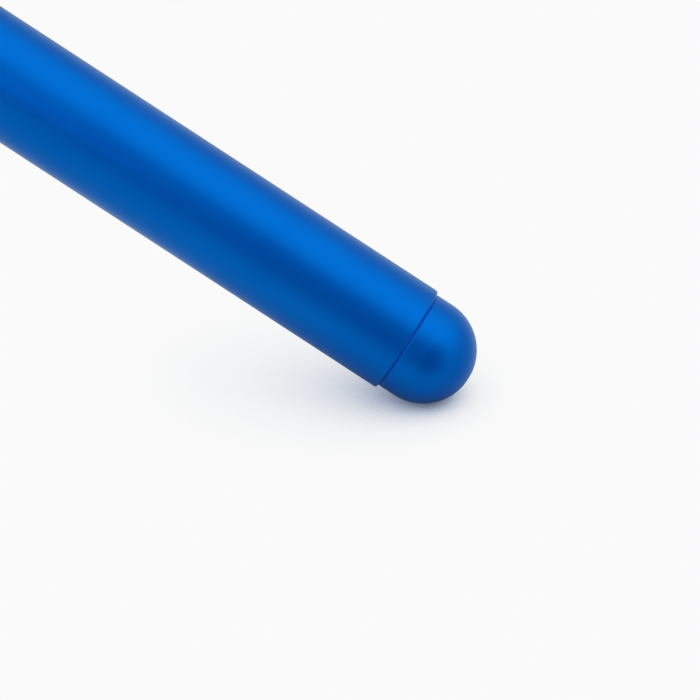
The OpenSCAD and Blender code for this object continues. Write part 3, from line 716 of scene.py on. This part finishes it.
def make_nozzle():
    """Turned nozzle with a chamfered tip, a shallow tool groove and a through bore."""
    hole, bore, stem = 0.35, 1.0, 2.47
    profile = [(0, hole), (0, 0.6), (3.4, 2), (3.75, 2), (3.85, 1.9), (4.0, 1.9), (4.1, 2), (6, 2), (6, 2.9),
               (8, 2.9), (8, stem), (13, stem), (13, bore), (2.2, bore), (1.2, hole)]
    placed = [(TIP_X + x, r) for x, r in profile]
    piece("turned_nozzle", Form().lathe(fillet(placed, 0.1), steps=96), "brass", "pen_body", "nozzle")


# ---------- controls ----------


def make_button(node, name, size, mark):
    """One-piece button: a stem, a retaining flange, a rounded cap with a dished top, and a painted mark."""
    x = middle(node).x
    low, high = span(node, "z")
    top_r = high - AXIS_Z
    body = BODY_OF[node]
    dish_r, dish_depth = 14.0, 0.25
    stem, stem_tip, flange = 1.4, 1.2, 0.9
    flange_low, flange_high = AXIS_Z + 6.75, AXIS_Z + 7.15
    rim, rim_steps, crown_steps = 0.4, 6, 14
    mark_depth, mark_rise = 0.3, 0.05

    def top(u, v):
        barrel = math.sqrt(top_r ** 2 - v ** 2)
        dish = top_r - dish_depth + dish_r - math.sqrt(dish_r ** 2 - u ** 2 - v ** 2)
        return AXIS_Z + min(barrel, dish)

    def on_top(u, v, w):
        return Vector((x + u, v, top(u, v) + w))

    def level(long, wide, z):
        return [(x + p.x, p.y, z) for p in stadium(long, wide)]

    long, wide = size
    rings = [level(stem_tip, stem_tip, low), level(stem, stem, low + 0.1), level(stem, stem, flange_low)]
    rings += [level(long + flange, wide + flange, z) for z in (flange_low, flange_high)]
    rings.append(level(long, wide, flange_high))
    for i in range(rim_steps + 1):
        a = math.pi / 2 * i / rim_steps
        pull = rim * (1 - math.cos(a))
        drop = rim * (1 - math.sin(a))
        edge = stadium(long - 2 * pull, wide - 2 * pull)
        rings.append([(x + p.x, p.y, top(p.x, p.y) - drop) for p in edge])
    for i in range(1, crown_steps + 1):
        shrink = 1 - i / (crown_steps + 0.5)
        edge = [p * shrink for p in stadium(long - 2 * rim, wide - 2 * rim)]
        rings.append([(x + p.x, p.y, top(p.x, p.y)) for p in edge])
    piece(name, Form().skin(rings), "button_metal", body, node)
    for index, outline in enumerate(mark):
        paint = Form().prism(fillet(outline, 0.12), -mark_depth, mark_rise, on_top, 0.03)
        piece(f"{node}_mark_{index + 1}", paint, "dark_plastic", body)


def arrow(way, at):
    """Triangle that points along X."""
    outline = [Vector((at - 0.55 * way, -0.8)), Vector((at + 0.7 * way, 0)), Vector((at - 0.55 * way, 0.8))]
    return outline if way > 0 else outline[::-1]


def make_buttons():
    make_button("feed_button", "feed_cap", (7.6, 5.2), [arrow(-1, 0)])
    make_button("retract_button", "retract_cap", (7.6, 5.2), [arrow(1, -0.75), arrow(1, 0.75)])
    make_button("mode_button", "mode_cap", (3.6, 3.6), [stadium(0.9, 0.9, 24)])


def make_slider():
    """Slider cap with rounded corners and seven grip ribs, on a square stem."""
    centre = middle("speed_slider")
    low = span("speed_slider", "z")[0]
    half_x, half_y = 1.8, 2.3
    inner_r, outer_r = BARREL_R + 0.05, span("speed_slider", "z")[1] - AXIS_Z
    ribs, rib_depth = 7, 0.16
    corner = 0.3
    rounds, count = 48, 16
    rings = []
    for i in range(rounds + 1):
        x = half_x * (2 * i / rounds - 1)
        edge = max(0.0, corner - (half_x - abs(x)))
        pull = corner - math.sqrt(corner ** 2 - edge ** 2)
        ridge = rib_depth * (0.5 - 0.5 * math.cos(TURN * ribs * i / rounds))
        crest = outer_r - rib_depth + ridge - pull
        width = half_y - pull
        sweep = [width * (2 * k / count - 1) for k in range(count + 1)]
        sides = [max(0.0, corner - (width - abs(y))) for y in sweep]
        drops = [corner - math.sqrt(corner ** 2 - min(side, corner) ** 2) for side in sides]
        under = [(centre.x + x, y, AXIS_Z + math.sqrt(inner_r ** 2 - y ** 2)) for y in sweep]
        over = [(centre.x + x, y, AXIS_Z + math.sqrt(crest ** 2 - y ** 2) - d) for y, d in zip(sweep, drops)]
        rings.append(under + over[::-1])
    form = Form().skin(rings)
    stem_long, stem_wide, stem_top = 2.0, 1.8, AXIS_Z + inner_r
    form.block((centre.x, 0, (low + stem_top) / 2), (stem_long, stem_wide, stem_top - low), 0.15)
    piece("slider_cap", form, "satin_aluminium", BODY_OF["speed_slider"], "speed_slider")


def make_speed_marks():
    """Printed scale beside the slider: bars that grow towards the rear."""
    centre = middle("slider_track").x
    bars, pitch, bar_w, beside = 7, 0.9, 0.2, 3.25
    form = Form()
    for i in range(bars):
        x = centre + pitch * (i - (bars - 1) / 2)
        outline = box_outline(bar_w, 0.35 + 0.13 * i)
        ring = [Vector((p.x + x, math.degrees((p.y + beside) / BARREL_R))) for p in outline]
        form.prism(ring, BARREL_R - 0.1, BARREL_R + 0.02, wrapped)
    piece("speed_marks", form, "white_lead", "pen_body")


# ---------- charging socket ----------


def make_usb_socket():
    """Drawn shell with a rolled lip, a moulded tongue and its rows of contacts."""
    centre = middle("usb_socket")
    back, mouth = span("usb_socket", "y")
    long, wide = 8.9, 3.2
    wall, lip = 0.3, 0.08
    floor_y = back + 0.6
    tongue_end = floor_y + 4.7
    contacts, pitch = 12, 0.5
    contact_y, contact_z = (floor_y + tongue_end) / 2 + 0.3, 0.36
    place = sideways(Vector((centre.x, 0, centre.z)))
    levels = [(back, 0), (mouth - lip, 0), (mouth, lip), (mouth, wall - lip), (mouth - lip, wall),
              (floor_y, wall)]
    rings = []
    for y, pull in levels:
        outline = stadium(long - 2 * pull, wide - 2 * pull, 96)
        rings.append([place(p.x, p.y, y) for p in outline])
    piece("usb_shell", Form().skin(rings), "steel", "pen_body", "usb_socket")
    tongue = Form().prism(fillet(box_outline(6.6, 0.7), 0.15), floor_y, tongue_end, place, 0.12)
    piece("usb_tongue", tongue, "dark_plastic", "pen_body")
    rows = Form()
    for face in (-1, 1):
        for i in range(contacts):
            x = centre.x + pitch * (i - (contacts - 1) / 2)
            rows.block((x, contact_y, centre.z + face * contact_z), (0.26, 3.4, 0.06), 0.02)
    piece("usb_contacts", rows, "brass", "pen_body")


# ---------- filament drive ----------


def make_feed_screw():
    """Threaded roller: a sharp ridge runs round a hollow core and fades out at both ends."""
    start, end = span("feed_screw", "x")
    centre = middle("feed_screw")
    core, crest, bore = 2.72, 3.0, 1.02
    pitch, ridge_half, fade_long = 1.36, 0.24, 0.5
    slices, steps = 110, 64

    def ring(x, radii):
        turns = [TURN * k / steps for k in range(steps)]
        return [(x, centre.y + r * math.cos(a), centre.z + r * math.sin(a)) for a, r in zip(turns, radii)]

    rings = []
    for i in range(slices + 1):
        x = start + (end - start) * i / slices
        fade = min(1.0, (x - start) / fade_long, (end - x) / fade_long)
        phases = [((x - start) / pitch - k / steps) % 1 for k in range(steps)]
        ridges = [max(0.0, 1 - abs(phase - 0.5) / ridge_half) for phase in phases]
        rings.append(ring(x, [core + (crest - core) * ridge * fade for ridge in ridges]))
    rings += [ring(x, [bore] * steps) for x in (end, start)]
    screw = Form().skin(rings, loop=True)
    piece("threaded_roller", screw, "steel", BODY_OF["feed_screw"], "feed_screw")


def make_idler_spring():
    """Torsion spring of round wire, with a leg that the arm carries round and a leg in the frame."""
    pivot = middle("pivot_pin")
    coil_r, wire_r, turns, width = 1.05, 0.17, 4, 1.6
    top = pivot.z + coil_r
    front, rear = span("idler_spring", "x")
    steps = 28 * turns
    coil = []
    for i in range(steps + 1):
        a = TURN * (0.25 - turns * i / steps)
        across = width * (i / steps - 0.5)
        coil.append(Vector((pivot.x + coil_r * math.cos(a), across, pivot.z + coil_r * math.sin(a))))
    front_leg = [Vector((front, -width / 2, top)), Vector((pivot.x - coil_r, -width / 2, top))]
    rear_leg = [Vector((pivot.x + 1, width / 2, top)), Vector((rear, width / 2, top))]
    wire = Form().pipe(front_leg + coil + rear_leg, wire_r, 12)
    spring = piece("torsion_spring", wire, "steel", None, "idler_spring")
    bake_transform(spring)


def make_rotor():
    """Three-pole rotor: shaft, laminated core, copper coils and a commutator of three bars."""
    start, end = span("motor_rotor", "x")
    centre = middle("motor_rotor")
    body = BODY_OF["motor_rotor"]
    poles, arc_steps = 3, 12
    core_end = end - 3.1
    core_start = core_end - 7.0
    hub_r, neck, shoe_r, core_r = 0.8, 0.32, 1.85, 2.26
    shoe_half = 47
    coil_low, coil_high, coil_half, coil_flare = hub_r + 0.05, shoe_r - 0.06, 0.85, 0.2
    coil_rounding, overhang = 0.45, 0.45
    bar_start, bar_r, bar_bore, bar_gap = end - 2.1, 1.08, 0.55, 5
    shaft_r, chamfer = 0.4, 0.1
    place = lengthways(Vector((0, centre.y, centre.z)))

    def polar(radius, degrees):
        return Vector((math.cos(math.radians(degrees)), math.sin(math.radians(degrees)))) * radius

    def sweep(radius, first, last):
        return [polar(radius, first + (last - first) * i / arc_steps) for i in range(arc_steps + 1)]

    neck_low = math.degrees(math.asin(neck / shoe_r))
    neck_deep = math.degrees(math.asin(neck / hub_r))
    outline, coils, bars = [], Form(), Form()
    for pole in range(poles):
        facing = 360 * pole / poles
        outline += [polar(hub_r, facing - neck_deep), polar(shoe_r, facing - neck_low)]
        outline += [polar(shoe_r, facing - shoe_half)]
        outline += sweep(core_r, facing - shoe_half, facing + shoe_half)
        outline += [polar(shoe_r, facing + shoe_half), polar(shoe_r, facing + neck_low)]
        outline += [polar(hub_r, facing + neck_deep)]
        out, along = polar(1, facing), polar(1, facing + 90)
        deep, wide = along * coil_half, along * (coil_half + coil_flare)
        pack = [out * coil_low - deep, out * coil_high - wide, out * coil_high + wide, out * coil_low + deep]
        coils.prism(fillet(pack, coil_rounding), core_start - overhang, core_end + overhang, place, 0.3)
        first, last = facing + bar_gap, facing + 360 / poles - bar_gap
        bar = sweep(bar_r, first, last) + sweep(bar_bore, last, first)
        bars.prism(bar, bar_start, bar_start + 1.0, place)
    piece("rotor_core", Form().prism(outline, core_start, core_end, place), "steel", body, "motor_rotor")
    shaft = [(start, 0), (start, shaft_r - chamfer), (start + chamfer, shaft_r), (end - chamfer, shaft_r),
             (end, shaft_r - chamfer), (end, 0)]
    piece("rotor_shaft", Form().lathe(shaft, centre.y, centre.z, 32), "steel", body)
    piece("rotor_coils", coils, "copper_winding", body)
    piece("commutator_bars", bars, "bronze", body)


def make_guide_tube():
    """Clear tube that carries the filament over the cell in two gentle S-bends."""
    start, end = span("guide_tube", "x")
    radius, bore = 1.5, 1.0
    rise = span("guide_tube", "z")[1] - radius - AXIS_Z
    bend = 17.5
    slices = 160
    front = span("drive_frame", "x")[1] + 0.3

    def height(x):
        u = min(1.0, max(0.0, min(x - front, BARREL_END + 0.3 - x) / bend))
        return rise * (0.5 - 0.5 * math.cos(math.pi * u))

    xs = [start + (end - start) * i / slices for i in range(slices + 1)]
    path = [Vector((x, 0, AXIS_Z + height(x))) for x in xs]
    piece("filament_tube", Form().pipe(path, radius, 32, bore), "ptfe", "pen_body", "guide_tube")


# ---------- leads ----------


def make_lead(name, slot, replaced, radius, points):
    path = smooth_path([pen(*point) for point in points])
    piece(name, Form().pipe(path, radius, 14), slot, "pen_body", replaced)


def make_leads():
    """Heater, thermistor, motor and battery wires along the routes of their CAD solids."""
    for side, label in ((-1, "left"), (1, "right")):
        make_lead(f"heater_lead_{label}", "white_lead", "heater_leads", 0.25, [
            (20.05, side * 0.5, 3.3), (22, side * 0.5, 3.4), (25, side * 0.6, 4), (28, side * 0.7, 4.5),
            (34, side * 0.7, 4.5), (40, side * 0.8, 4.4), (43, side * 1.8, 4.45), (46, side * 3.2, 4.62)])
        slot = "red_lead" if side > 0 else "dark_plastic"
        y, z = middle("motor_can").y, middle("motor_can").z - AXIS_Z
        end = span("motor_can", "x")[1] - TIP_X
        make_lead(f"motor_lead_{label}", slot, "motor_leads", 0.25, [
            (end + 1, y + 1.4 * side, z + 1.2), (end + 1.3, y + 1.3 * side, z + 1.6),
            (end + 1.2, y + side, z + 3.4), (102.6, 4 + 0.7 * side, 3.4), (100, 3.9 + 0.6 * side, 4.6)])
    make_lead("thermistor_lead", "white_lead", "heater_leads", 0.17, [
        (19, 0, 3.55), (22, 0, 3.6), (25, 0, 4.1), (28, 0, 4.7), (34, 0, 4.8), (41, 0, 4.5), (44, 0, 4.55),
        (46.5, 0, 4.7)])
    make_lead("battery_lead", "red_lead", "battery_leads", 0.25, [
        (106.6, -1.2, -2.2), (106.5, -3, -0.8), (106.3, -4.6, 1.4), (104.4, -4.2, 3.8), (102, -3.6, 4.58)])
    make_lead("charge_lead", "dark_plastic", "battery_leads", 0.25, [
        (151.3, -4.4, -1.2), (148, -4.6, 2.4), (140, -4.7, 2.6), (112, -4.7, 2.6), (105.6, -5, 3.4),
        (102.6, -4.8, 4.58)])


# ---------- boards ----------

CAPACITOR_RISE = 0.18


def chip_capacitor(bodies, ends, at, crosswise=False):
    """A ceramic chip capacitor with tinned ends, laid along X or across it."""
    body, end, shift = Vector((0.5, 0.46, 0.34)), Vector((0.22, 0.5, 0.38)), Vector((0.36, 0, 0))
    if crosswise:
        body, end, shift = body.yxz, end.yxz, shift.yxz
    bodies.block(at, body, 0.04)
    for side in (-1, 1):
        ends.block(at + shift * side, end)


def chip_leg(form, x, y, side, board_z, shoulder):
    """A chip's gull-wing leg: out of its flank at y, down from its shoulder, and out along the board."""
    bend = [(-0.1, shoulder + 0.02), (0.16, shoulder), (0.24, 0.12), (0.5, 0.1)]
    form.pipe([Vector((x, y + side * reach, board_z + rise)) for reach, rise in bend], 0.09, 6)


def make_board_parts():
    """Rows of small ceramic capacitors beside the chips and the switches."""
    top = span("main_board", "z")[1]
    rows, pitch = 4, 1.15
    wide_row = 87.8
    bodies, ends = Form(), Form()
    for station in (53.4, 55.0, 62.2, wide_row, 95.8, 101.6):
        apart = pitch * (2 if station == wide_row else 1)
        for row in range(rows):
            at = pen(station, apart * (row - (rows - 1) / 2))
            at.z = top + CAPACITOR_RISE
            chip_capacitor(bodies, ends, at)
    piece("chip_capacitors", bodies, "bronze", "pen_body")
    piece("capacitor_ends", ends, "satin_aluminium", "pen_body")


def make_chip_legs():
    """Gull-wing legs along both sides of the two driver chips."""
    top = span("main_board", "z")[1]
    pitch = 0.75
    form = Form()
    for chip_x, chip_y, width, count in ((84, 0, 5, 3), (92, 1.4, 5, 6)):
        for side in (-1, 1):
            for i in range(count):
                x = chip_x + TIP_X + pitch * (i - (count - 1) / 2)
                chip_leg(form, x, chip_y + side * width / 2, side, top, 0.6)
    piece("chip_legs", form, "satin_aluminium", "pen_body")


def make_charge_board():
    """Charging board with its controller chip, the chip's legs and a row of small capacitors."""
    low, high = (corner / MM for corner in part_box("charge_board"))
    thick = 0.6
    top = low.z + thick
    centre = Vector(((low.x + high.x) / 2, (low.y + high.y) / 2, low.z + thick / 2))
    board = Form().block(centre, (high.x - low.x, high.y - low.y, thick), 0.12)
    piece("charger_board", board, "circuit_board", "pen_body", "charge_board")
    chip = Vector((low.x + 4.1, low.y + 2.7, top + 0.5))
    chip_size = (3.0, 2.4, 0.85)
    piece("charger_chip", Form().block(chip, chip_size, 0.1), "dark_plastic", "pen_body")
    legs, bodies, ends = Form(), Form(), Form()
    for i in range(4):
        for side in (-1, 1):
            chip_leg(legs, chip.x + 0.7 * (i - 1.5), chip.y + side * chip_size[1] / 2, side, top, 0.43)
        at = Vector((chip.x - 2.1 + 1.4 * i, chip.y + 3.0, top + CAPACITOR_RISE))
        chip_capacitor(bodies, ends, at, crosswise=True)
    piece("charger_legs", legs, "satin_aluminium", "pen_body")
    piece("charger_capacitors", bodies, "bronze", "pen_body")
    piece("charger_capacitor_ends", ends, "satin_aluminium", "pen_body")


def make_cell():
    """Lithium cell: a steel can with a raised cap, in a shrunk jacket whose ends fold over its rims."""
    start, end = span("battery_cell", "x")
    low, high = span("battery_cell", "z")
    centre = middle("battery_cell")
    radius = (high - low) / 2
    film, fold, cap_r = 0.12, 0.9, 1.6
    can_r = radius - film
    shoulder, back = start + 0.8, end - 0.05
    can_start = shoulder + 0.15
    outside = [(shoulder, radius - fold), (shoulder, radius - 0.25), (shoulder + 0.45, radius),
               (back, radius), (back, radius - fold)]
    inside = [(back - film, radius - fold), (back - film, can_r), (shoulder + film, can_r),
              (shoulder + film, radius - fold)]
    jacket = Form().lathe(fillet(outside, 0.3, closed=False) + inside, centre.y, centre.z)
    piece("cell_jacket", jacket, "cell_wrap", "pen_body", "battery_cell")
    can = [(start, 0), (start, cap_r), (can_start, cap_r), (can_start, can_r), (end, can_r), (end, 0)]
    piece("cell_can", Form().lathe(fillet(can, 0.25, closed=False), centre.y, centre.z), "steel", "pen_body")


make_dome_plug()
make_nose()
make_nozzle()
make_buttons()
make_slider()
make_speed_marks()
make_usb_socket()
make_feed_screw()
make_idler_spring()
make_rotor()
make_guide_tube()
make_leads()
make_board_parts()
make_chip_legs()
make_charge_board()
make_cell()
